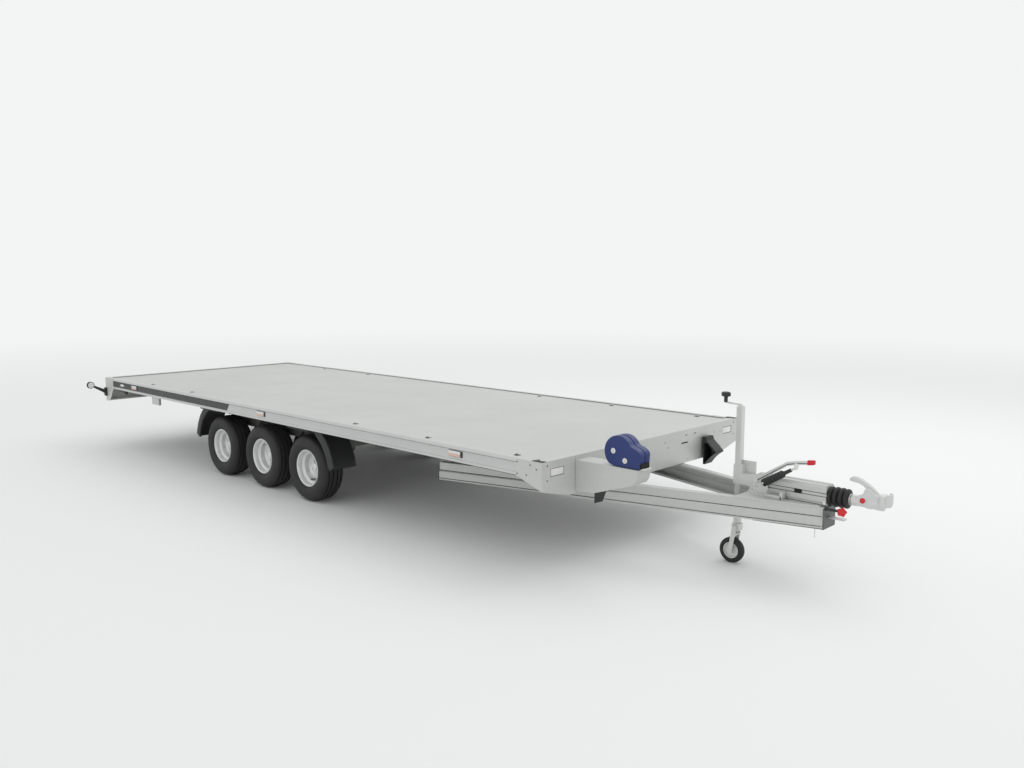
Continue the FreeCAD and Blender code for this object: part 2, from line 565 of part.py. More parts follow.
wo, th, tr = D["wheel_outer"], D["tyre_half"], D["tyre_radius"]
mid_y = wo - th
rm = D["rim_radius"]
flange = th - 19
bead = flange - 9
rim_out = [(6, 0), (6, 20), (1, 27), (-16, 30), (-16, rm - 75), (-6, rm - 61), (-6, rm - 45), (-16, rm - 31),
           (-13, rm - 25), (34, rm - 25), (44, rm - 6), (flange - 4, rm - 4), (flange, rm + 5),
           (flange, rm + 12), (flange - 6, rm + 12), (flange - 8, rm), (42, rm - 2), (32, rm - 21),
           (-24, rm - 21), (-36, rm - 2), (8 - flange, rm), (6 - flange, rm + 12), (-1 * flange, rm + 12),
           (-1 * flange, rm + 5), (4 - flange, rm - 4), (-38, rm - 6), (-26, rm - 25), (-26, rm - 36),
           (-58, rm - 36), (-58, 17.05), (-8, 17.05), (-8, 0)]
tyre_out = [(bead, rm + 0.05), (bead, rm + 15), (th - 4, rm + 37), (th, rm + 71), (th - 6, tr - 16),
            (th - 22, tr), (22 - th, tr), (6 - th, tr - 16), (-1 * th, rm + 71), (4 - th, rm + 37),
            (-1 * bead, rm + 15), (-1 * bead, rm + 0.05)]
for name, i in (("rear", 0), ("middle", 1), ("front", 2)):
    ax = bx(D["rear_axle"]) + i * D["axle_pitch"]
    bits = [box("tube_" + name, ax + 90, ax + 150, -650, 650, 410, 470)]
    for side, s in (("r", -1), ("l", 1)):
        ya, yb = (-1 * (fr + fw), -1 * fr) if s < 0 else (fr, fr + fw)
        bits.append(box("seat_%s_%s" % (name, side), ax + 60, ax + 180, ya, yb, 465, member_low - 80))
        y0 = -645 if s < 0 else 690
        arm_out = [(-26, tr - 26), (20, tr - 30), (170, 400), (170, 470), (90, 480), (-26, tr + 26)]
        bits.append(pad("arm_%s_%s" % (name, side), arm_out, 45, ax, y0, 0, TO_NEG_Y))
        rot = Rot(V(1, 0, 0), 90 if s < 0 else -90)
        bits.append(cyl("spindle_%s_%s" % (name, side), 40, mid_y - 73 - 680, ax, s * 680, tr, rot))
        bits.append(cyl("backing_%s_%s" % (name, side), 112, 10, ax, s * (mid_y - 73), tr, rot))
        bits.append(cyl("stub_%s_%s" % (name, side), 17, 60, ax, s * (mid_y - 74), tr, rot))
    node("axle_" + name, fuse("axle_all_" + name, bits))
    tyre = turned("tyre_r_" + name, tyre_out, ax, -mid_y, tr, Rot(V(0, 0, 1), -90))
    rim_form = turned("rim_form_" + name, rim_out, ax, -mid_y, tr, Rot(V(0, 0, 1), -90))
    vents = []
    for k in range(8):
        turn = math.radians(45 * k + 22.5)
        vents.append(cyl("vent_%s_%d" % (name, k), 9, 30, ax + (rm - 53) * math.cos(turn), 26 - mid_y,
                         tr + (rm - 53) * math.sin(turn), ALONG_NEG_Y))
    rim = cut("rim_r_" + name, rim_form, fuse("vents_" + name, vents))
    node("tyre_right_" + name, tyre)
    node("rim_right_" + name, rim)
    node("tyre_left_" + name, mirror("tyre_l_" + name, tyre))
    node("rim_left_" + name, mirror("rim_l_" + name, rim))

# Mudguards behind the rear wheels and ahead of the front wheels

gr = D["guard_radius"]
guard_y = 203 - wo
for name, i, a0, ahead in (("rear", 0, 116, 0), ("front", 2, 7, 15)):
    ax = bx(D["rear_axle"]) + i * D["axle_pitch"] + ahead
    rot = ALONG_NEG_Y.multiply(Rot(V(0, 0, 1), a0))
    shell = cyl("guard_shell_" + name, gr + 5, 228, ax, guard_y, tr, rot, 57)
    bore = cyl("guard_bore_" + name, gr, 218, ax, guard_y + 5, tr, ALONG_NEG_Y)
    lip_bore = cyl("guard_lip_bore_" + name, gr - 26, 300, ax, guard_y + 27, tr, ALONG_NEG_Y)
    arch = cut("guard_lip_" + name, cut("guard_arch_" + name, shell, bore), lip_bore)
    top_z = H - rd - 12
    if i == 0:
        flange = box("guard_flange_rear", ax - 176, ax + 130, -W2 + 10, guard_y, top_z, H - rd)
    else:
        flange = box("guard_flange_front", ax - 130, ax + 176, -W2 + 10, guard_y, top_z, H - rd)
    guard = fuse("guard_all_" + name, [arch, flange])
    node("mudguard_right_" + name, guard)
    node("mudguard_left_" + name, mirror("guard_l_" + name, guard))

# Stalk lamps at the rear corners

lens_x, lens_y, lens_z = bx(-28), -W2 - 143, 637
stalk = fuse("stalk_all", [box("stalk_foot", bx(-26), bx(0), -W2 + 2, -W2 + 30, H - 182, H - 128),
                           rod("stalk_arm", 13, [bx(-15), -W2 + 14, 556], [lens_x, lens_y + 26, 624], 8),
                           cyl("stalk_lens", 36, 34, lens_x - 17, lens_y, lens_z, ALONG_X)])
node("stalk_lamp_right", stalk)
node("stalk_lamp_left", mirror("stalk_left", stalk))

# Checks on every object, then one file for each sub-part

doc.recompute()
for o in doc.Objects:
    if "Invalid" in o.State or "Error" in o.State:
        raise RuntimeError("failed object: " + o.Name + " " + o.Label)
os.makedirs("parts", exist_ok=True)
seen = set()
for label, obj in nodes:
    shape = obj.Shape
    if shape.isNull() or not shape.isValid() or shape.Volume <= 0:
        raise RuntimeError("bad shape: " + label)
    if label in seen:
        raise RuntimeError("two sub-parts share a name: " + label)
    seen.add(label)
    if len(shape.Solids) != 1:
        print("several solids:", label, len(shape.Solids))
    shape.exportStep("parts/" + label + ".step")
print(len(nodes), "sub-parts")
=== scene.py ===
import bpy
import bmesh
import json
import math
from mathutils import Matrix, Vector

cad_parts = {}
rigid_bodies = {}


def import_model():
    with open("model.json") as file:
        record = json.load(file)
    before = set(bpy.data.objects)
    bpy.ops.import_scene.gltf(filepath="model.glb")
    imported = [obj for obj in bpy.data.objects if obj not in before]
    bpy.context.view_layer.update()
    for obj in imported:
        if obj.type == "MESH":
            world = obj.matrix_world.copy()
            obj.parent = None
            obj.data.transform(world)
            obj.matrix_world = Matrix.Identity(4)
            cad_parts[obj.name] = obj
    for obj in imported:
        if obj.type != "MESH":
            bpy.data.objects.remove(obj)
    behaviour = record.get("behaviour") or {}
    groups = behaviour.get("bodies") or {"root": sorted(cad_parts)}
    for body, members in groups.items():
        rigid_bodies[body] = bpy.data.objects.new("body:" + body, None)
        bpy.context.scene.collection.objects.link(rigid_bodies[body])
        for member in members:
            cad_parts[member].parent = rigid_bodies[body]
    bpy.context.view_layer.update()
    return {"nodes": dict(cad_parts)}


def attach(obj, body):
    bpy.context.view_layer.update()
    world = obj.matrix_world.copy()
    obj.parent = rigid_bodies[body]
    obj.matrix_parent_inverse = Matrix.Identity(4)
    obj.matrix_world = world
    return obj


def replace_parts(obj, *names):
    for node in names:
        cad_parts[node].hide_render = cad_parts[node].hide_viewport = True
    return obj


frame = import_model()

# Main places, in metres: rear and front panel, the bed's half width, wheels, jockey post and coupling
REAR = -3.823
FRONT = 2.299
HALF = 1.100
WHEEL_Z = 0.266
WHEEL_Y = 0.905
AXLES = {"rear": -1.609, "middle": -0.941, "front": -0.273}
POST_X = 2.939
NOSE_X = 3.824
SIDES = (("right", -1), ("left", 1))


# Materials: each surface gets its colour, wear and grain from noise in object space

def new_material(name, color, metallic, rough, coat=0.0, spec=0.5):
    m = bpy.data.materials.new(name)
    m.use_nodes = True
    bsdf = m.node_tree.nodes["Principled BSDF"]
    bsdf.inputs["Base Color"].default_value = (*color, 1)
    bsdf.inputs["Metallic"].default_value = metallic
    bsdf.inputs["Roughness"].default_value = rough
    bsdf.inputs["Coat Weight"].default_value = coat
    bsdf.inputs["Specular IOR Level"].default_value = spec
    return m, bsdf


def noise_node(m, coords, scale, stretch=(1, 1, 1), detail=4.0, kind="ShaderNodeTexNoise"):
    nodes, links = m.node_tree.nodes, m.node_tree.links
    mapping = nodes.new("ShaderNodeMapping")
    mapping.inputs["Scale"].default_value = stretch
    links.new(coords.outputs["Object"], mapping.inputs["Vector"])
    tex = nodes.new(kind)
    tex.inputs["Scale"].default_value = scale
    if kind == "ShaderNodeTexNoise":
        tex.inputs["Detail"].default_value = detail
    links.new(mapping.outputs["Vector"], tex.inputs["Vector"])
    return tex


def dress(m, bsdf, color, rough, vary=0.06, vary_scale=3.0, rough_vary=0.12, grain=300.0,
          grain_stretch=(1, 1, 1), grain_depth=0.0002, spangle=0.0, spangle_scale=60.0):
    """Adds slow colour change, uneven gloss, fine bump and, for zinc, a spangle."""
    nodes, links = m.node_tree.nodes, m.node_tree.links
    coords = nodes.new("ShaderNodeTexCoord")
    slow = noise_node(m, coords, vary_scale)
    ramp = nodes.new("ShaderNodeMapRange")
    ramp.inputs["From Min"].default_value = 0.3
    ramp.inputs["From Max"].default_value = 0.7
    ramp.inputs["To Min"].default_value = 1.0 - vary
    ramp.inputs["To Max"].default_value = 1.0 + vary * 0.5
    links.new(slow.outputs["Fac"], ramp.inputs["Value"])
    scale = nodes.new("ShaderNodeVectorMath")
    scale.operation = "SCALE"
    scale.inputs[0].default_value = color
    links.new(ramp.outputs["Result"], scale.inputs["Scale"])
    out = scale.outputs["Vector"]
    if spangle:
        cells = noise_node(m, coords, spangle_scale, kind="ShaderNodeTexVoronoi")
        cell_range = nodes.new("ShaderNodeMapRange")
        cell_range.inputs["To Min"].default_value = 1.0 - spangle
        cell_range.inputs["To Max"].default_value = 1.0 + spangle * 0.4
        links.new(cells.outputs["Color"], cell_range.inputs["Value"])
        tint = nodes.new("ShaderNodeVectorMath")
        tint.operation = "SCALE"
        links.new(out, tint.inputs[0])
        links.new(cell_range.outputs["Result"], tint.inputs["Scale"])
        out = tint.outputs["Vector"]
    links.new(out, bsdf.inputs["Base Color"])
    gloss = nodes.new("ShaderNodeMapRange")
    gloss.inputs["To Min"].default_value = max(0.05, rough - rough_vary)
    gloss.inputs["To Max"].default_value = min(1.0, rough + rough_vary)
    patch = noise_node(m, coords, vary_scale * 4)
    links.new(patch.outputs["Fac"], gloss.inputs["Value"])
    links.new(gloss.outputs["Result"], bsdf.inputs["Roughness"])
    fine = noise_node(m, coords, grain, grain_stretch, 3.0)
    bump = nodes.new("ShaderNodeBump")
    bump.inputs["Strength"].default_value = 1.0
    bump.inputs["Distance"].default_value = grain_depth
    links.new(fine.outputs["Fac"], bump.inputs["Height"])
    links.new(bump.outputs["Normal"], bsdf.inputs["Normal"])
    return m


def surface(name, color, metallic, rough, coat=0.0, spec=0.5, **look):
    m, bsdf = new_material(name, color, metallic, rough, coat, spec)
    return dress(m, bsdf, color, rough, **look)


MAT = {
    "galv": surface("galvanised", (0.565, 0.58, 0.56), 0.30, 0.44, spangle=0.03, vary=0.04, grain=260,
                    grain_depth=0.00008),
    "rail": surface("rail_alu", (0.575, 0.59, 0.575), 0.35, 0.38, vary=0.03, grain=220,
                    grain_stretch=(0.02, 1, 1), grain_depth=0.00008),
    # Darker copy of the galvanised steel for frames, axles, mounts and lashing pans under and in the bed:
    # painted shade for the dark beneath the deck; also used for the corner rivets and the panel seam
    "under": surface("dark_steel_painted_shade", (0.150, 0.152, 0.145), 0.40, 0.50, spangle=0.10, vary=0.10, grain=260),
    "nose": surface("nose_plate", (0.125, 0.13, 0.125), 0.35, 0.48, vary=0.08, grain=260),
    "zinc": surface("zinc", (0.66, 0.675, 0.65), 0.35, 0.34, spangle=0.03, spangle_scale=160, vary=0.04,
                    grain_depth=0.00008),
    "cast": surface("cast_zinc", (0.66, 0.665, 0.655), 0.35, 0.42, vary=0.05, grain=500, grain_depth=0.0005),
    "deck": surface("deck_board", (0.525, 0.54, 0.52), 0.0, 0.42, vary=0.05, vary_scale=1.5, grain=420,
                    grain_depth=0.0004),
    "tyre": surface("tyre_rubber", (0.020, 0.020, 0.020), 0.0, 0.62, vary=0.25, grain=700,
                    grain_depth=0.0003),
    "rim": surface("rim_silver", (0.74, 0.75, 0.745), 0.35, 0.34, coat=0.15, vary=0.03, grain=600,
                   grain_depth=0.0001),
    "plastic": surface("black_plastic", (0.020, 0.021, 0.021), 0.0, 0.50, vary=0.2, grain=900,
                       grain_depth=0.0003),
    "rubber": surface("black_rubber", (0.013, 0.013, 0.013), 0.0, 0.60, vary=0.2, grain=800,
                      grain_depth=0.0003),
    "blue": surface("blue_plastic", (0.012, 0.030, 0.150), 0.0, 0.40, vary=0.06, grain=900,
                    grain_depth=0.0002),
    "red": surface("red_plastic", (0.62, 0.012, 0.02), 0.0, 0.35, vary=0.06, grain=700, grain_depth=0.0002),
    "stripe": surface("grey_stripe", (0.040, 0.042, 0.042), 0.1, 0.42, vary=0.06, grain=500,
                      grain_depth=0.0001),
    "amber": surface("amber_lens", (0.70, 0.47, 0.38), 0.0, 0.25, coat=0.4, vary=0.08, grain=350,
                     grain_depth=0.0006),
    "white": surface("white_lens", (0.74, 0.74, 0.72), 0.0, 0.25, coat=0.4, vary=0.03, grain=350,
                     grain_depth=0.0004),
    "red_lens": surface("red_lens", (0.50, 0.010, 0.012), 0.0, 0.22, coat=0.5, vary=0.08, grain=350,
                        grain_depth=0.0006),
    # Near-black for holes, slots, the pedestal's mouth, grooves, beam lines and marker backs: painted shade
    # inside openings and recesses
    "dark": surface("painted_shade_black", (0.010, 0.010, 0.010), 0.0, 0.9, vary=0.1),
}


# Mesh helpers

def mesh_object(name, verts, faces, mat, body="trailer", smooth=35):
    me = bpy.data.meshes.new(name)
    me.from_pydata([tuple(v) for v in verts], [], faces)
    me.update()
    o = bpy.data.objects.new(name, me)
    bpy.context.scene.collection.objects.link(o)
    bm = bmesh.new()
    bm.from_mesh(me)
    bmesh.ops.recalc_face_normals(bm, faces=bm.faces)
    bm.to_mesh(me)
    bm.free()
    finish(o, mat, body, smooth)
    return o


def finish(o, mat, body="trailer", smooth=35):
    o.data.materials.clear()
    o.data.materials.append(MAT[mat])
    if smooth and o.type == "MESH":
        for p in o.data.polygons:
            p.use_smooth = True
        o.data.set_sharp_from_angle(angle=math.radians(smooth))
    if body:
        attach(o, body)
    return o


def bevel(o, width, segments=3, angle=30):
    mod = o.modifiers.new("edge", "BEVEL")
    mod.width = width
    mod.segments = segments
    mod.limit_method = "ANGLE"
    mod.angle_limit = math.radians(angle)
    mod.harden_normals = False
    return apply_mods(o)


def apply_mods(o):
    deps = bpy.context.evaluated_depsgraph_get()
    me = bpy.data.meshes.new_from_object(o.evaluated_get(deps))
    old = o.data
    o.modifiers.clear()
    o.data = me
    bpy.data.meshes.remove(old)
    for p in o.data.polygons:
        p.use_smooth = True
    o.data.set_sharp_from_angle(angle=math.radians(35))
    return o


BOX_FACES = [(0, 1, 3, 2), (4, 6, 7, 5), (0, 4, 5, 1), (2, 3, 7, 6), (0, 2, 6, 4), (1, 5, 7, 3)]


def span(s, a, b):
    """Two distances from the middle, put on the side s, the smaller y first."""
    return sorted((s * a, s * b))


def block(name, lo, hi, mat, edge=0.002, body="trailer"):
    x0, y0, z0 = lo
    x1, y1, z1 = hi
    v = [(x, y, z) for x in (x0, x1) for y in (y0, y1) for z in (z0, z1)]
    o = mesh_object(name, v, BOX_FACES, mat, body)
    return bevel(o, edge, 2) if edge else o


AXIS_FRAMES = {
    "x": (Vector((1, 0, 0)), Vector((0, 1, 0)), Vector((0, 0, 1))),
    "y": (Vector((0, 1, 0)), Vector((0, 0, 1)), Vector((1, 0, 0))),
    "z": (Vector((0, 0, 1)), Vector((1, 0, 0)), Vector((0, 1, 0))),
}


def turn(name, profile, centre, axis, mat, body="trailer", segs=48, lobes=None, closed=False, smooth=35):
    """Profile of (along the axis, radius) turned about an axis through centre; axis may be a vector."""
    if isinstance(axis, str):
        along, u, v = AXIS_FRAMES[axis]
    else:
        along = Vector(axis).normalized()
        u = along.orthogonal().normalized()
        v = along.cross(u)
    c = Vector(centre)
    verts, faces = [], []
    rings = []
    for a, r in profile:
        if r <= 1e-6:
            rings.append([len(verts)])
            verts.append(c + along * a)
            continue
        ring = []
        for k in range(segs):
            t = 2 * math.pi * k / segs
            rk = r * (lobes(t, a) if lobes else 1)
            ring.append(len(verts))
            verts.append(c + along * a + (u * math.cos(t) + v * math.sin(t)) * rk)
        rings.append(ring)
    pairs = list(zip(rings, rings[1:]))
    if closed:
        pairs.append((rings[-1], rings[0]))
    for p, q in pairs:
        if len(p) == 1 and len(q) == 1:
            continue
        for k in range(segs):
            n = (k + 1) % segs
            if len(p) == 1:
                faces.append((p[0], q[k], q[n]))
            elif len(q) == 1:
                faces.append((p[k], q[0], p[n]))
            else:
                faces.append((p[k], q[k], q[n], p[n]))
    return mesh_object(name, verts, faces, mat, body, smooth)


PLANES = {
    "xz": lambda u, v, w: (u, w, v),
    "yz": lambda u, v, w: (w, u, v),
    "xy": lambda u, v, w: (u, v, w),
}


def prism(name, outline, plane, w0, w1, mat, edge=0.002, body="trailer", segments=2):
    """Outline in a plane, extruded from w0 to w1 across it."""
    put = PLANES[plane]
    n = len(outline)
    verts = [put(u, v, w) for w in (w0, w1) for u, v in outline]
    faces = [tuple(range(n)), tuple(range(2 * n - 1, n - 1, -1))]
    for i in range(n):
        j = (i + 1) % n
        faces.append((i, j, n + j, n + i))
    o = mesh_object(name, verts, faces, mat, body)
    return bevel(o, edge, segments) if edge else o


def arc(cx, cy, r, a0, a1, n):
    return [(cx + r * math.cos(math.radians(a0 + (a1 - a0) * i / n)),
             cy + r * math.sin(math.radians(a0 + (a1 - a0) * i / n))) for i in range(n + 1)]


def pipe(name, points, radius, mat, body="trailer", sides=16):
    """Round bar through the points with small bends."""
    cu = bpy.data.curves.new(name, "CURVE")
    cu.dimensions = "3D"
    sp = cu.splines.new("NURBS")
    sp.points.add(len(points) - 1)
    for p, q in zip(sp.points, points):
        p.co = (*q, 1)
    sp.order_u = 3
    sp.use_endpoint_u = True
    sp.resolution_u = 8
    cu.bevel_depth = radius
    cu.bevel_resolution = sides // 4
    cu.use_fill_caps = True
    o = bpy.data.objects.new(name, cu)
    bpy.context.scene.collection.objects.link(o)
    deps = bpy.context.evaluated_depsgraph_get()
    me = bpy.data.meshes.new_from_object(o.evaluated_get(deps))
    bpy.data.objects.remove(o)
    o = bpy.data.objects.new(name, me)
    bpy.context.scene.collection.objects.link(o)
    return finish(o, mat, body)


def merged(name, objs):
    """One mesh from several objects, each with its own material, that rides on nothing yet."""
    bm = bmesh.new()
    mats = []
    for o in objs:
        before = len(bm.faces)
        bm.from_mesh(o.data)
        bm.faces.ensure_lookup_table()
        if o.data.materials[0] not in mats:
            mats.append(o.data.materials[0])
        for f in bm.faces[before:]:
            f.material_index = mats.index(o.data.materials[0])
        bpy.data.objects.remove(o)
    me = bpy.data.meshes.new(name)
    bm.to_mesh(me)
    bm.free()
    for m in mats:
        me.materials.append(m)
    o = bpy.data.objects.new(name, me)
    bpy.context.scene.collection.objects.link(o)
    return o


def join(name, objs, body="trailer"):
    """One piece from several, on its body."""
    o = merged(name, objs)
    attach(o, body)
    return o


def moved_copy(name, o, matrix, body="trailer"):
    """Copy with its move baked into the mesh; a mirror flips its faces back."""
    me = o.data.copy()
    me.transform(matrix)
    if matrix.to_3x3().determinant() < 0:
        me.flip_normals()
    new = bpy.data.objects.new(name, me)
    bpy.context.scene.collection.objects.link(new)
    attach(new, body)
    return new


def hexagon(name, centre, axis, across, height, mat, body="trailer"):
    r = across / math.sqrt(3)
    prof = [(0, 0), (0, r), (height * 0.8, r), (height, r * 0.85), (height, 0)]
    return turn(name, prof, centre, axis, mat, body, segs=6, smooth=20)


# CAD pieces that stay get their finish

KEEP = {
    "galv": ["front_panel", "rear_panel", "drawbar_beam_right", "drawbar_beam_left", "drawbar_head",
             "overrun_housing", "winch_pedestal"],
    # The frame rails, cross members, hangers and axles under the bed take the darker steel as painted shade
    "under": ["cross_members", "frame_rail_right", "frame_rail_left", "beam_hangers", "axle_rear",
              "axle_middle", "axle_front"],
    "nose": ["drawbar_nose"],
    "zinc": ["coupling_shaft", "jockey_post", "jockey_clamp", "jockey_tube", "jockey_fork",
             "handbrake_bracket"],
    "deck": ["deck"],
    "plastic": ["wheel_chock", "pedestal_pad", "mudguard_right_rear", "mudguard_left_rear",
                "mudguard_right_front", "mudguard_left_front"],
}
for mat, names in KEEP.items():
    for n in names:
        o = frame["nodes"][n]
        o = bpy.data.objects[n] if isinstance(o, (str, dict)) else o
        for i in range(len(o.material_slots)):
            o.material_slots[i].material = MAT[mat]

# Wheels: tyre with grooved tread, deep silver rim with bolts and cap

# The outer half of each tyre bulges a little more than the inner half
OUTER_BULGE = 1.075


def tyre_profile():
    side = [(0.063, 0.1365), (0.066, 0.1440), (0.071, 0.1500), (0.079, 0.1555), (0.0880, 0.1680),
            (0.0930, 0.184), (0.0948, 0.200), (0.0948, 0.203), (0.0936, 0.2045), (0.0942, 0.208),
            (0.0928, 0.222), (0.0885, 0.236), (0.0830, 0.2465), (0.0760, 0.2535), (0.0700, 0.2575)]
    tread = [(0.0640, 0.2600)]
    for g in (0.0520, 0.0190):
        top = 0.2625 if g > 0.03 else 0.2652
        tread += [(g + 0.0050, top), (g + 0.0034, 0.2550), (g - 0.0034, 0.2550), (g - 0.0050, top + 0.0006)]
    half = side + tread
    return half + [(-a, r) for a, r in reversed(half)]


def tread_blocks(t, a):
    """Short sipes at the shoulder's edge."""
    if 0.069 < abs(a) < 0.0770:
        return 0.992 if (t * 72 / (2 * math.pi)) % 1 < 0.22 else 1.0
    return 1.0


def make_wheel():
    c = (0, 0, 0)
    wide = [(a * OUTER_BULGE if a > 0 else a, r) for a, r in tyre_profile()]
    tyre = turn("tyre_form", wide, c, "y", "tyre", None, segs=240, lobes=tread_blocks, smooth=28)
    barrel = [(0.0810, 0.1385), (0.0835, 0.1430), (0.0820, 0.1470), (0.0780, 0.1480), (0.0720, 0.1460),
              (0.0660, 0.1360), (0.0430, 0.1335), (0.0300, 0.1165), (-0.0260, 0.1165), (-0.0380, 0.1335),
              (-0.0645, 0.1360), (-0.0665, 0.1460), (-0.0700, 0.1480), (-0.0740, 0.1475), (-0.0735, 0.1405),
              (-0.0690, 0.1320), (-0.0400, 0.1300), (-0.0280, 0.1125), (0.0310, 0.1125), (0.0430, 0.1290),
              (0.0620, 0.1300), (0.0720, 0.1325)]
    rim = turn("rim_form", barrel, c, "y", "rim", None, segs=120, closed=True, smooth=25)
    disc_prof = [(-0.0020, 0.1130), (-0.0060, 0.1120), (-0.0070, 0.1050), (-0.0030, 0.0980),
                 (0.0040, 0.0920), (0.0055, 0.0830), (0.0000, 0.0760), (-0.0080, 0.0710), (-0.0100, 0.0640),
                 (-0.0100, 0.0330), (-0.0200, 0.0320), (-0.0200, 0.1120), (-0.0040, 0.1140)]
    disc = turn("disc_form", disc_prof, c, "y", "rim", None, segs=120, smooth=25)
    parts = [rim, disc]
    cutters = []
    for k in range(10):
        t = 2 * math.pi * (k + 0.5) / 10
        p = (0.097 * math.cos(t), -0.03, 0.097 * math.sin(t))
        hole = turn("hole", [(-0.01, 0.0), (-0.01, 0.0080), (0.06, 0.0080), (0.06, 0.0)], p, "y", "dark",
                    None, segs=20)
        cutters.append(hole)
    bm = bmesh.new()
    for h in cutters:
        bm.from_mesh(h.data)
        bpy.data.objects.remove(h)
    me = bpy.data.meshes.new("holes")
    bm.to_mesh(me)
    bm.free()
    holes = bpy.data.objects.new("holes", me)
    bpy.context.scene.collection.objects.link(holes)
    mod = disc.modifiers.new("vents", "BOOLEAN")
    mod.object = holes
    mod.operation = "DIFFERENCE"
    mod.solver = "EXACT"
    apply_mods(disc)
    bpy.data.objects.remove(holes)
    # The brake drum behind the disc is in the darker steel, painted shade inside the wheel
    drum = turn("drum", [(-0.060, 0.0), (-0.060, 0.1000), (-0.056, 0.1010), (-0.0240, 0.1010),
                         (-0.0225, 0.0995), (-0.0225, 0.0)], c, "y", "under", None, segs=72)
    cap = turn("cap", [(-0.0100, 0.034), (-0.004, 0.0335), (0.010, 0.0310), (0.0155, 0.0275),
                       (0.0175, 0.021), (0.0180, 0.0)], c, "y", "rim", None, segs=48)
    lip = turn("cap_lip", [(-0.0102, 0.038), (-0.0070, 0.0375), (-0.0067, 0.032)], c, "y", "rim", None,
               segs=48)
    parts += [drum, cap, lip]
    for k in range(5):
        t = 2 * math.pi * k / 5 + 0.3
        p = (0.054 * math.cos(t), -0.0100, 0.054 * math.sin(t))
        parts.append(turn("seat", [(0, 0.0150), (0.0015, 0.0148), (0.002, 0.011)], p, "y", "zinc", None,
                          segs=20))
        parts.append(hexagon("bolt", p, "y", 0.018, 0.012, "zinc", None))
    valve = turn("valve", [(0.0, 0.0), (0.0, 0.0045), (0.028, 0.0035), (0.030, 0.0045), (0.038, 0.0045),
                           (0.039, 0)],
                 (0.1080, -0.004, 0.0), (-0.15, 1, 0), "rubber", None, segs=14)
    parts.append(valve)
    return tyre, parts


tyre_form, rim_parts = make_wheel()
rim_form = merged("rim_form_all", rim_parts)
for side, s in SIDES:
    for k, (name, x) in enumerate(AXLES.items()):
        body = "wheel_%s_%s" % (side, name)
        turn_by = Matrix.Rotation(0.9 * k + (0.4 if s > 0 else 0), 4, "Y")
        flip = Matrix.Scale(s, 4, Vector((0, 1, 0)))
        place = Matrix.Translation((x, s * WHEEL_Y, WHEEL_Z)) @ flip @ turn_by
        t = moved_copy("tyre_%s_%s_look" % (side, name), tyre_form, place, body)
        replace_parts(t, "tyre_%s_%s" % (side, name))
        r = moved_copy("rim_%s_%s_look" % (side, name), rim_form, place, body)
        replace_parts(r, "rim_%s_%s" % (side, name))
bpy.data.objects.remove(tyre_form)
bpy.data.objects.remove(rim_form)

# Side rails: section with a top band, a recessed face and a lower flange, the leg socket and the lamps

WEB = HALF - 0.0055
RAIL_0, RAIL_1 = REAR + 0.190, FRONT - 0.202
MARKER_X = (-3.127, -0.751, 1.567)
RAIL_SECTION = [(1.0995, 0.6065), (1.0995, 0.6250), (1.0945, 0.6270), (1.0945, 0.6850), (1.0960, 0.6875),
                (1.0995, 0.6885), (1.0995, 0.6970), (1.0940, 0.7075), (1.0900, 0.7100), (1.0585, 0.7100),
                (1.0585, 0.7055), (1.0860, 0.7040), (1.0905, 0.6940), (1.0905, 0.6110), (1.0585, 0.6105),
                (1.0585, 0.6065)]


def strip(name, x0, x1, y, s, z0, z1, mat, out=0.0008):
    """Thin lengthwise strip on a side face."""
    y0, y1 = span(s, y + out, y - 0.001)
    return prism(name, [(x0, z0), (x1, z0), (x1, z1), (x0, z1)], "xz", y0, y1, mat, 0)


for side, s in SIDES:
    section = [(s * y, z) for y, z in RAIL_SECTION]
    bits = [prism("channel", section, "yz", RAIL_0, RAIL_1, "rail", 0)]
    ya, yb = span(s, 1.0780, 1.0730)
    yc, yd = span(s, 1.0780, 1.0580)
    bits.append(block("socket_face", (-2.783, ya, 0.5305), (-2.633, yb, 0.608), "rail", 0.002))
    bits.append(block("socket_rear", (-2.783, yc, 0.5305), (-2.778, yd, 0.608), "rail", 0.001))
    bits.append(block("socket_front", (-2.638, yc, 0.5305), (-2.633, yd, 0.608), "rail", 0.001))
    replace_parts(join("side_rail_%s_look" % side, bits), "side_rail_" + side)
    y0, y1 = span(s, WEB + 0.0010, WEB - 0.0008)
    prism("stripe_" + side, [(REAR + 0.192, 0.6285), (-1.303, 0.6285), (-1.262, 0.6840),
                             (REAR + 0.192, 0.6840)],
          "xz", y0, y1, "stripe", 0)
    # Black strips in the rail's top groove and above the lower flange are painted shade
    lines = [strip("groove_high", RAIL_0, RAIL_1, WEB, s, 0.6845, 0.6868, "dark"),
             strip("groove_low", -1.262, RAIL_1, WEB + 0.0050, s, 0.6065, 0.6090, "dark", 0.0002)]
    join("rail_grooves_" + side, lines)
    for k, x in enumerate(MARKER_X):
        ya, yb = span(s, WEB, HALF - 0.0005)
        yc, yd = span(s, WEB, HALF + 0.0030)
        bits = [block("lamp_base", (x - 0.062, ya, 0.640), (x + 0.064, yb, 0.679), "plastic", 0.003),
                block("lamp_white", (x - 0.060, yc, 0.6585), (x + 0.048, yd, 0.6770), "white", 0.003),
                block("lamp_amber", (x - 0.060, yc, 0.6420), (x + 0.048, yd, 0.6583), "amber", 0.003)]
        join("side_marker_%s_%d" % (side, k), bits)
    oval = [(-3.422 + 0.048 * math.cos(math.radians(12 * k)),
             0.657 + 0.0115 * math.sin(math.radians(12 * k)))
            for k in range(30)]
    y0, y1 = span(s, WEB, WEB + 0.0016)
    prism("blank_oval_" + side, oval, "xz", y0, y1, "white", 0)

# Rope hooks under the rails, ring lashing points along the deck's edge

LASHING_X = (-2.912, -2.100, 0.399, 1.199, 2.015)
LASHING_Y = 1.003

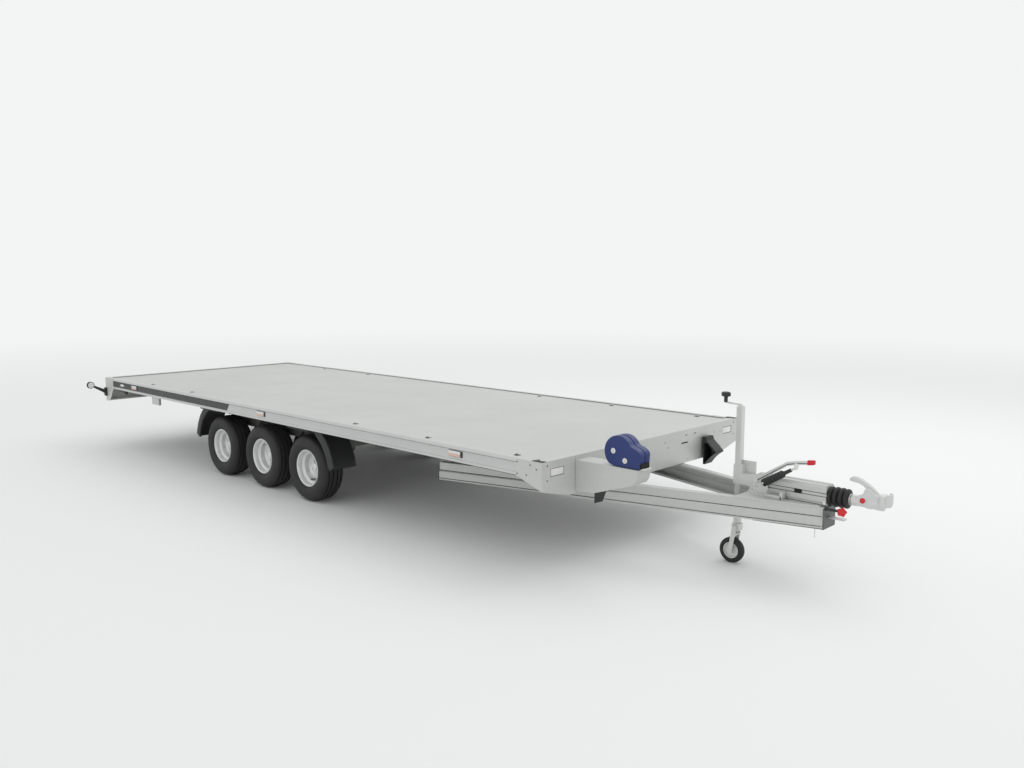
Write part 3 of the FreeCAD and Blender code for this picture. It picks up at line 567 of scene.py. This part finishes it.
for side, s in SIDES:
    y0, y1 = span(s, 1.085, 1.062)
    prism("rope_hook_" + side, [(-3.515, 0.6065), (-3.366, 0.6065), (-3.368, 0.5700), (-3.378, 0.5650),
                                (-3.402, 0.5650), (-3.414, 0.5820), (-3.430, 0.5860), (-3.515, 0.5840)],
          "xz", y0, y1, "plastic", 0.003)
    bits = []
    for x in LASHING_X:
        y = s * LASHING_Y
        # The recessed pan in dark steel and its black floor are painted shade
        bits.append(turn("pan", [(0.7015, 0.0), (0.7015, 0.0225), (0.7028, 0.0220), (0.7030, 0.0170),
                                 (0.7022, 0.0160), (0.7022, 0.0)], (x, y, 0), "z", "under", segs=28))
        bits.append(turn("pan_floor", [(0.7018, 0.0), (0.7018, 0.0158), (0.7026, 0.0158), (0.7026, 0.0)],
                         (x, y, 0), "z", "dark", segs=28))
        bits.append(pipe("ring", [(x - 0.014, y, 0.7030), (x - 0.012, y, 0.7110), (x, y, 0.7125),
                                  (x + 0.012, y, 0.7110), (x + 0.014, y, 0.7030)], 0.0026, "zinc"))
    join("lashing_" + side, bits)

# Front corners: rivets, caps, marker lamps in their slots with black behind the lenses, and black discs and
# strips behind the small holes and slots: painted shade seen through the openings

RIVET = [(0.0, 0.0), (0.0, 0.0062), (0.0012, 0.0050), (0.0018, 0.0)]

for side, s in SIDES:
    bits = []
    for x, z in ((2.104, 0.690), (2.208, 0.684), (2.256, 0.664), (2.104, 0.620), (2.178, 0.620)):
        bits.append(turn("rivet", RIVET, (x, s * 1.0995, z), (0, s, 0), "under", segs=16))
    for z in (0.684, 0.596):
        bits.append(turn("rivet", RIVET, (FRONT - 0.0002, s * 1.053, z), "x", "under", segs=16))
    join("corner_rivets_" + side, bits)
    cap = [(2.220, s * 1.0985), (2.298, s * 1.0985), (2.298, s * 1.062), (2.268, s * 1.074),
           (2.232, s * 1.044)]
    prism("corner_cap_" + side, cap, "xy", 0.7095, 0.7140, "plastic", 0.001)
    ya, yb = span(s, 0.9000, 1.0280)
    yc, yd = span(s, 0.9070, 1.0180)
    join("front_marker_" + side, [
        block("marker_back", (FRONT - 0.016, ya, 0.610), (FRONT - 0.0045, yb, 0.668), "dark", 0.001),
        block("marker_lens", (FRONT - 0.012, yc, 0.617), (FRONT - 0.0005, yd, 0.661), "white", 0.003)])
bits = []
for y, z in ((-0.084, 0.658), (0.149, 0.652), (0.186, 0.612), (0.427, 0.499), (0.779, 0.645), (0.863, 0.641),
             (0.869, 0.536)):
    bits.append(turn("hole_shade", [(-0.0055, 0.0), (-0.0055, 0.0070), (-0.0042, 0.0070), (-0.0042, 0.0)],
                     (FRONT, y, z), "x", "dark", segs=16))
for y0, y1, z0, z1 in ((0.390, 0.428, 0.665, 0.679), (0.504, 0.542, 0.665, 0.679),
                       (0.348, 0.438, 0.611, 0.629)):
    bits.append(block("slot_shade", (FRONT - 0.0055, y0, z0), (FRONT - 0.0042, y1, z1), "dark", 0))
bits.append(block("seam", (FRONT - 0.0005, -0.8020, 0.494), (FRONT + 0.0004, -0.8005, 0.7090), "under", 0))
join("panel_openings", bits)

# Mudguards: the rolled side lip, and mounting plates of the axles behind the wheels
# Each row: axle, which way the guard reaches, outer radius of the lip, angle where its curve ends
GUARDS = (("rear", -1, 0.402, 56.4), ("front", 1, 0.414, 54.0))

for side, s in SIDES:
    for name, d, r1, turn_deg in GUARDS:
        x = AXLES[name]
        outer = arc(0, 0, r1, 8.5, turn_deg, 22)
        inner = arc(0, 0, 0.338, 57.4, 8.5, 22)
        outline = [(x + d * u, WHEEL_Z + v) for u, v in outer + [(0.190, 0.3365)] + inner]
        y0, y1 = span(s, 1.0260, 1.0080)
        prism("guard_lip_%s_%s" % (side, name), outline, "xz", y0, y1, "plastic", 0.0075, segments=4)
    # The long angle and the axle mounts in dark steel fill the dark under the bed as painted shade, their
    # black bolts too
    y0, y1 = span(s, 0.775, 0.769)
    bits = [block("long_angle", (-1.960, y0, 0.500), (0.150, y1, 0.608), "under", 0.001)]
    for x in AXLES.values():
        c = x + 0.02
        y0, y1 = span(s, 0.7690, 0.7620)
        plate = [(c - 0.255, 0.606), (c - 0.235, 0.500), (c - 0.150, 0.430), (c + 0.200, 0.430),
                 (c + 0.275, 0.500), (c + 0.295, 0.606)]
        bits.append(prism("mount", plate, "xz", y0, y1, "under", 0.002))
        for dx in (-0.075, 0.062):
            bits.append(hexagon("mount_bolt", (c + dx, s * 0.7680, 0.530), (0, s, 0), 0.022, 0.009, "dark"))
    join("axle_mounts_" + side, bits)

# Winch cover in two halves with its bolts, and the pedestal's mouth

WX, WZ = FRONT + 0.303, 0.770
cover_line = arc(WX, WZ, 0.0965, 228, 38, 34)
cover_line += [(FRONT + 0.386, 0.8185), (FRONT + 0.397, 0.8115), (FRONT + 0.415, 0.8045),
               (FRONT + 0.436, 0.7965)]
cover_line += [(FRONT + 0.454, 0.782), (FRONT + 0.460, 0.770), (FRONT + 0.453, 0.6865),
               (FRONT + 0.278, 0.6865)]
mid_line = [(WX + (x - WX) * 0.96, WZ + (z - WZ) * 0.96 if z > 0.70 else z) for x, z in cover_line]
bits = [prism("near_half", cover_line, "xz", -0.790, -0.7405, "blue", 0.007, segments=4),
        prism("far_half", cover_line, "xz", -0.7365, -0.685, "blue", 0.007, segments=4),
        prism("mid_band", mid_line, "xz", -0.742, -0.735, "blue", 0)]
cover = join("winch_cover_look", bits)
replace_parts(cover, "winch_cover")
bolts = []
for x, z in ((FRONT + 0.273, 0.775), (FRONT + 0.356, 0.727)):
    bolts.append(turn("washer", [(0.001, 0.0), (0.001, 0.0165), (-0.002, 0.0155), (-0.0025, 0.0)],
                      (x, -0.790, z), "y", "white"))
    bolts.append(hexagon("head", (x, -0.7922, z), (0, -1, 0), 0.015, 0.006, "zinc"))
# The pedestal's mouth is a black block, painted shade inside the opening
bolts.append(block("mouth", (FRONT + 0.420, -0.778, 0.690), (FRONT + 0.4615, -0.697, 0.722), "dark", 0.002))
bolts.append(block("strap_pad", (FRONT + 0.425, -0.775, 0.6855), (FRONT + 0.478, -0.700, 0.691), "white",
                   0.002))
join("winch_fittings", bolts)

# Drawbar: bellows, coupling, handle, knob, handbrake

SHAFT_Z = 0.530
BELLOWS_X = FRONT + 1.218
folds = [(0.0, 0.0255), (0.0, 0.046)]
for a0, rad in ((0.001, 0.0560), (0.032, 0.0578), (0.063, 0.0578), (0.092, 0.0560)):
    folds += [(a0 + 0.002, rad - 0.007), (a0 + 0.006, rad - 0.001), (a0 + 0.012, rad),
              (a0 + 0.018, rad - 0.001), (a0 + 0.022, rad - 0.007), (a0 + 0.0255, rad - 0.0125)]
folds += [(0.119, 0.0370), (0.121, 0.0330), (0.1255, 0.0320), (0.1258, 0.0255)]
bellows = turn("bellows_look", folds, (BELLOWS_X, 0, SHAFT_Z), "x", "rubber", segs=64, smooth=60)
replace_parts(bellows, "bellows")
turn("bellows_clip", [(0, 0.0318), (0, 0.0335), (0.006, 0.0335), (0.006, 0.0315)],
     (BELLOWS_X + 0.1205, 0, SHAFT_Z), "x", "zinc", segs=48)

# Side outline of the coupling's throat, from the ball's axis and the shaft's height
THROAT = [(-0.150, -0.024), (-0.104, -0.019), (-0.088, -0.030), (-0.060, -0.030), (-0.036, -0.016),
          (-0.012, -0.004), (0.006, 0.000), (0.006, 0.050), (-0.024, 0.047), (-0.046, 0.058),
          (-0.070, 0.080), (-0.090, 0.083), (-0.104, 0.073), (-0.112, 0.044), (-0.150, 0.030)]
head_bits = [
    turn("neck", [(-0.180, 0.0), (-0.180, 0.030), (-0.174, 0.0325), (-0.120, 0.0295), (-0.030, 0.034),
                  (0, 0.034), (0, 0)], (NOSE_X, 0, SHAFT_Z), "x", "cast", None),
    turn("cup", [(0.523, 0.0), (0.523, 0.0375), (0.527, 0.0405), (0.536, 0.0410), (0.542, 0.0385),
                 (0.564, 0.0375), (0.576, 0.0355), (0.584, 0.0310), (0.5885, 0.0200), (0.5890, 0.0)],
         (NOSE_X - 0.002, 0, 0), "z", "cast", None, segs=64),
    prism("throat", [(NOSE_X + x, SHAFT_Z + z) for x, z in THROAT], "xz", -0.028, 0.028, "cast", 0.005,
          None, 3),
]
coupling = merged("coupling_form", head_bits)
one = coupling.modifiers.new("one", "REMESH")
one.mode = "VOXEL"
one.voxel_size = 0.0016
soft = coupling.modifiers.new("soft", "SMOOTH")
soft.factor = 0.5
soft.iterations = 7
apply_mods(coupling)
coupling.name = "coupling_head_look"
finish(coupling, "cast", "trailer", 0)
for p in coupling.data.polygons:
    p.use_smooth = True
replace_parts(coupling, "coupling_head")
lip_line = arc(NOSE_X + 0.004, 0.0, 0.0395, -68, 68, 18) + arc(NOSE_X + 0.004, 0.0, 0.030, 68, -68, 18)
prism("coupling_lip", lip_line, "xy", 0.534, 0.596, "cast", 0.002)
handle_line = [(3.632, 0.638), (3.656, 0.635), (3.684, 0.631), (3.708, 0.620), (3.734, 0.598),
               (3.748, 0.580), (3.792, 0.580), (3.786, 0.592), (3.763, 0.6140), (3.730, 0.6370),
               (3.699, 0.6550), (3.675, 0.6640), (3.650, 0.6655), (3.636, 0.6590), (3.6295, 0.6480)]
handle = prism("coupling_handle_look", handle_line, "xz", -0.0125, 0.0125, "cast",
               0.004, segments=3)
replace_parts(handle, "coupling_handle")
DOT = (FRONT + 1.416, -0.0285, 0.541)
dots = [turn("wear_mark", [(0.004, 0.0), (0.004, 0.0160), (-0.003, 0.0160), (-0.004, 0.0145), (-0.004, 0)],
             DOT, (0, 1, -0.25), "red", segs=28),
        turn("mark_ring", [(0.004, 0.0160), (-0.0045, 0.0160), (-0.0045, 0.0200), (0.004, 0.0200)], DOT,
             (0, 1, -0.25), "cast", segs=28, closed=True)]
join("wear_indicator", dots)

KNOB = (FRONT + 1.3150, -0.062, 0.466)
knob = turn("knob_head", [(-0.002, 0.0), (-0.002, 0.016), (0.001, 0.0240), (0.005, 0.0270), (0.014, 0.0270),
                          (0.018, 0.0235), (0.0195, 0.0)], KNOB, (0.55, -0.83, 0), "red", segs=90,
            lobes=lambda t, a: 1.0 - 0.20 * (1 - math.cos(5 * t)) * 0.5)
stem = turn("knob_stem", [(-0.094, 0.0), (-0.094, 0.0105), (-0.084, 0.0105), (-0.082, 0.0078),
                          (-0.014, 0.0078), (-0.012, 0.0125), (-0.002, 0.0130), (0.0, 0.009), (0.0, 0.0)],
            KNOB, "x", "plastic", segs=32)
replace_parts(join("locking_knob_look", [knob, stem]), "locking_knob")

TIP = 3.868
PLATE = 0.480


def lever_points(pairs):
    return [(TIP - v / 1000, PLATE + z / 1000) for v, z in pairs]


web = lever_points([(788, 59), (770, 72), (578, 201), (523, 216), (456, 226), (456, 249), (523, 238),
                    (579, 225), (785, 95), (792, 80)])
grip_end = lever_points([(456, 223), (418, 229), (413, 233), (412, 252), (417, 257), (456, 252)])
lever_bits = [prism("bar", web, "xz", -0.0795, -0.0685, "zinc", 0.002),
              # A thin dark strip between the lever's flanges is painted shadow in its channel
              prism("painted_channel_shade", lever_points([(768, 79), (578, 207), (523, 221), (456, 230), (456, 235),
                                         (523, 227), (578, 213), (772, 86)]), "xz", -0.0822, -0.0812,
                    "under", 0),
              prism("flange_near", web, "xz", -0.0815, -0.0790, "zinc", 0.001),
              prism("grip", grip_end, "xz", -0.0840, -0.0645, "red", 0.005, segments=3),
              turn("boss", [(-0.062, 0), (-0.062, 0.0115), (-0.084, 0.0115), (-0.084, 0)],
                   (TIP - 0.772, 0, PLATE + 0.084), "y", "zinc")]
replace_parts(join("handbrake_lever_look", lever_bits), "handbrake_lever")

lean = math.radians(31.5)
boot_axis = Vector((math.cos(lean), 0, math.sin(lean)))
BOOT = (TIP - 0.724, -0.086, PLATE + 0.075)
ribs = [(0.0, 0.0), (0.0, 0.015)]
for k in range(8):
    a = 0.004 + k * 0.0186
    ribs += [(a, 0.0175), (a + 0.003, 0.0225), (a + 0.0110, 0.0225), (a + 0.0145, 0.0175)]
ribs += [(0.154, 0.0165), (0.159, 0.0115), (0.206, 0.0105), (0.208, 0.0)]
boot_bits = [
    turn("boot", ribs, BOOT, boot_axis, "plastic", segs=36),
    turn("rod", [(0.204, 0.0), (0.204, 0.0055), (0.224, 0.0055), (0.224, 0.0)], BOOT, boot_axis, "zinc",
         segs=20),
    turn("pin", [(-0.0625, 0.0), (-0.0625, 0.0060), (-0.1085, 0.0060), (-0.1085, 0)],
         (TIP - 0.714, 0, PLATE + 0.081), "y", "zinc"),
    prism("link", [(3.330, 0.664), (3.356, 0.668), (3.366, 0.704), (3.338, 0.706)], "xz", -0.086, -0.080,
          "white", 0.001),
]
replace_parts(join("handbrake_spring_look", boot_bits), "handbrake_spring")

# Overrun housing: black strips in the grooves and a black lock slot, painted shade; the end clip; the cable
# bracket, the shelf and the pin at the nose

for s in (-1, 1):
    strip("housing_groove", 3.128, 3.5165, 0.0462, s, 0.5460, 0.5480, "dark", 0.0006)
    strip("housing_groove", 3.128, 3.5165, 0.0462, s, 0.5280, 0.5300, "dark", 0.0006)
    strip("housing_groove", 3.128, 3.5165, 0.0472, s, 0.4800, 0.4825, "dark", 0.0006)
block("cable_bracket", (3.168, -0.108, 0.480), (3.276, -0.066, 0.500), "galv", 0.003)
block("cable_stop", (3.262, -0.108, 0.480), (3.280, -0.066, 0.526), "galv", 0.003)
block("shelf_top", (3.5205, -0.021, 0.4015), (3.6125, 0.021, 0.4105), "cast", 0.002)
turn("nose_pin", [(0.268, 0.0), (0.268, 0.0022), (0.346, 0.0022), (0.346, 0.0)], (3.437, 0, 0), "z", "zinc",
     segs=12)

block("housing_slot", (FRONT + 1.026, -0.0528, 0.528), (FRONT + 1.071, -0.0450, 0.553), "dark", 0.003)
block("housing_clip", (FRONT + 1.203, -0.058, 0.484), (FRONT + 1.2175, -0.050, 0.508), "white", 0.002)

# Beams: black lines above the step and above the lower lip, painted shade under the ledges

SLOPE = math.atan2(0.2773, 1)
BEAM_HALF = 0.071
for side, s in SIDES:
    bits = []
    for z0, z1, u in ((0.4165, 0.4200, 0.0075), (0.3605, 0.3640, -0.0005)):
        ends = []
        for back in (2.585, 0.012):
            x = 3.514 - back * math.cos(SLOPE) - u * math.sin(SLOPE)
            y = BEAM_HALF + back * math.sin(SLOPE) - u * math.cos(SLOPE)
            ends.append((x, y))
        verts = []
        for x, y in ends:
            for z in (z0, z1):
                for out in (0.0, 0.001):
                    verts.append((x + out * math.sin(SLOPE), s * (y + out * math.cos(SLOPE)), z))
        bits.append(mesh_object("line", verts, BOX_FACES, "dark"))
    join("beam_shade_lines_" + side, bits)

# Jockey wheel: crank with its cap, and the wheel with tyre and hub

CRANK_X = POST_X - 0.104
crank_bits = [
    turn("collar", [(0.985, 0.0), (0.985, 0.016), (0.990, 0.016), (0.992, 0.009), (1.000, 0.008),
                    (1.003, 0)],
         (POST_X, 0, 0), "z", "zinc"),
    pipe("arm", [(POST_X + 0.004, 0, 0.995), (POST_X - 0.050, 0, 0.998), (POST_X - 0.094, 0, 1.000),
                 (CRANK_X, 0, 1.001), (CRANK_X, 0, 1.030)], 0.0052, "zinc"),
    turn("grip", [(1.000, 0.0), (1.000, 0.0090), (1.004, 0.0115), (1.032, 0.0115), (1.036, 0.0150),
                  (1.038, 0.0270), (1.041, 0.0305), (1.056, 0.0305), (1.062, 0.0275), (1.0648, 0.0190),
                  (1.0650, 0)], (CRANK_X, 0, 0), "z", "plastic", segs=48,
         lobes=lambda t, a: 1.0 - (0.14 if a > 1.034 else 0.0) * (1 - math.cos(4 * t)) * 0.5),
]
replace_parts(join("jockey_crank_look", crank_bits), "jockey_crank")
JWX = POST_X - 0.030
tyre_prof = [(-0.0170, 0.050), (-0.0215, 0.055), (-0.0230, 0.064), (-0.0215, 0.072), (-0.0170, 0.0775),
             (-0.0090, 0.0795), (0.0, 0.0800), (0.0090, 0.0795), (0.0170, 0.0775), (0.0215, 0.072),
             (0.0230, 0.064), (0.0215, 0.055), (0.0170, 0.050)]
hub_prof = [(-0.0190, 0.0505), (-0.0190, 0.046), (-0.0080, 0.043), (-0.0080, 0.024), (-0.0220, 0.020),
            (-0.0220, 0.0083), (0.0220, 0.0083), (0.0220, 0.020), (0.0080, 0.024), (0.0080, 0.043),
            (0.0190, 0.046), (0.0190, 0.0505)]
jw = join("jockey_wheel_look", [turn("jt", tyre_prof, (JWX, 0, 0.080), "y", "rubber", segs=64, smooth=60),
                                turn("jh", hub_prof, (JWX, 0, 0.080), "y", "zinc", segs=48)], "jockey_wheel")
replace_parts(jw, "jockey_wheel")

# Lamps: stalk lamps at the rear corners, rear clusters
# Each row: material of the lens, and where it starts and ends as a share of the cluster's width
REAR_LENSES = (("red_lens", 0.03, 0.40), ("amber", 0.41, 0.70), ("white", 0.71, 0.97))

for side, s in SIDES:
    lens = Vector((REAR - 0.028, s * 1.243, 0.637))
    foot = Vector((REAR + 0.010, s * 1.104, 0.560))
    axis = lens - foot
    length = axis.length - 0.030
    arm = turn("arm", [(0, 0.0), (0, 0.0210), (0.016, 0.0200), (0.030, 0.0170), (length * 0.6, 0.0140),
                       (length, 0.0110), (length, 0.0)], foot, axis, "rubber", segs=28)
    ring = turn("ring", [(-0.016, 0.0), (-0.016, 0.028), (-0.015, 0.0335), (-0.012, 0.0355), (0.012, 0.0355),
                         (0.015, 0.0345), (0.016, 0.0305), (0.016, 0.0)], lens, "x", "rubber", segs=48)
    front_lens = turn("front_lens", [(0.0155, 0.0305), (0.0175, 0.028), (0.0178, 0)], lens, "x", "white",
                      segs=40)
    rear_lens = turn("rear_lens", [(-0.0155, 0.0275), (-0.0168, 0.025), (-0.017, 0)], lens, "x", "red_lens",
                     segs=40)
    ya, yb = span(s, 1.060, 1.098)
    yc, yd = span(s, 1.088, 1.116)
    foot_block = block("foot", (REAR - 0.014, yc, 0.518), (REAR + 0.036, yd, 0.604), "rubber", 0.005)
    look = join("stalk_lamp_%s_look" % side, [arm, ring, front_lens, rear_lens, foot_block])
    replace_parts(look, "stalk_lamp_" + side)
    ya, yb = span(s, 0.830, 1.050)
    bits = [block("case", (REAR - 0.008, ya, 0.545), (REAR, yb, 0.635), "plastic", 0.003)]
    for m, f0, f1 in REAR_LENSES:
        a, b = span(s, 1.050 - 0.220 * f0, 1.050 - 0.220 * f1)
        bits.append(block("lens", (REAR - 0.0155, a, 0.550), (REAR - 0.006, b, 0.630), m, 0.004))
    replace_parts(join("rear_lamp_%s_look" % side, bits), "rear_lamp_" + side)

# Floor, light and camera: the floor fades into the background far from the trailer

STUDIO = (0.895, 0.900, 0.900, 1)
FLOOR_HALF = 60
FADE_FROM, FADE_TO = 5.0, 22.0
PHOTO_WIDTH_PX = 1024.0
FOCAL_PX = 881.178585
CAMERA_DOWN = 0.12419546
CAMERA_TURN = 2.3320835

floor = bpy.data.meshes.new("floor")
floor_corners = [(FLOOR_HALF * u, FLOOR_HALF * v, 0) for u, v in ((-1, -1), (1, -1), (1, 1), (-1, 1))]
floor.from_pydata(floor_corners, [], [(0, 1, 2, 3)])
floor_object = bpy.data.objects.new("floor", floor)
bpy.context.scene.collection.objects.link(floor_object)
floor_mat, floor_bsdf = new_material("studio_floor", (0.86, 0.865, 0.865), 0.0, 0.85, spec=0.1)
floor_nodes, floor_links = floor_mat.node_tree.nodes, floor_mat.node_tree.links
place_node = floor_nodes.new("ShaderNodeNewGeometry")
far = floor_nodes.new("ShaderNodeVectorMath")
far.operation = "LENGTH"
floor_links.new(place_node.outputs["Position"], far.inputs[0])
fade = floor_nodes.new("ShaderNodeMapRange")
fade.interpolation_type = "SMOOTHSTEP"
fade.inputs["From Min"].default_value = FADE_FROM
fade.inputs["From Max"].default_value = FADE_TO
floor_links.new(far.outputs["Value"], fade.inputs["Value"])
glow = floor_nodes.new("ShaderNodeEmission")
glow.inputs["Color"].default_value = STUDIO
blend = floor_nodes.new("ShaderNodeMixShader")
floor_links.new(fade.outputs["Result"], blend.inputs[0])
floor_links.new(floor_bsdf.outputs[0], blend.inputs[1])
floor_links.new(glow.outputs[0], blend.inputs[2])
floor_links.new(blend.outputs[0], floor_nodes["Material Output"].inputs["Surface"])
floor.materials.append(floor_mat)

world = bpy.data.worlds.new("studio")
bpy.context.scene.world = world
world.use_nodes = True
world.node_tree.nodes["Background"].inputs["Color"].default_value = STUDIO
world.node_tree.nodes["Background"].inputs["Strength"].default_value = 1.0


def area(name, place, target, size, power):
    light = bpy.data.lights.new(name, "AREA")
    light.shape = "RECTANGLE"
    light.size, light.size_y = size
    light.energy = power
    o = bpy.data.objects.new(name, light)
    o.location = place
    o.rotation_euler = (Vector(target) - Vector(place)).to_track_quat("-Z", "Y").to_euler()
    bpy.context.scene.collection.objects.link(o)
    return o


area("overhead", (3.0, 4.5, 7.0), (0, 0, 0), (7, 5), 130)

cam = bpy.data.cameras.new("photo_view")
cam.sensor_width = 36.0
cam.lens = cam.sensor_width * FOCAL_PX / PHOTO_WIDTH_PX
cam.clip_end = 200
camera = bpy.data.objects.new("photo_view", cam)
camera.location = (9.41085 + REAR, -4.79918, 1.78356)
camera.rotation_euler = (math.pi / 2 - CAMERA_DOWN, 0, CAMERA_TURN - math.pi / 2)
bpy.context.scene.collection.objects.link(camera)
bpy.context.scene.camera = camera
bpy.context.scene.view_settings.view_transform = "Standard"
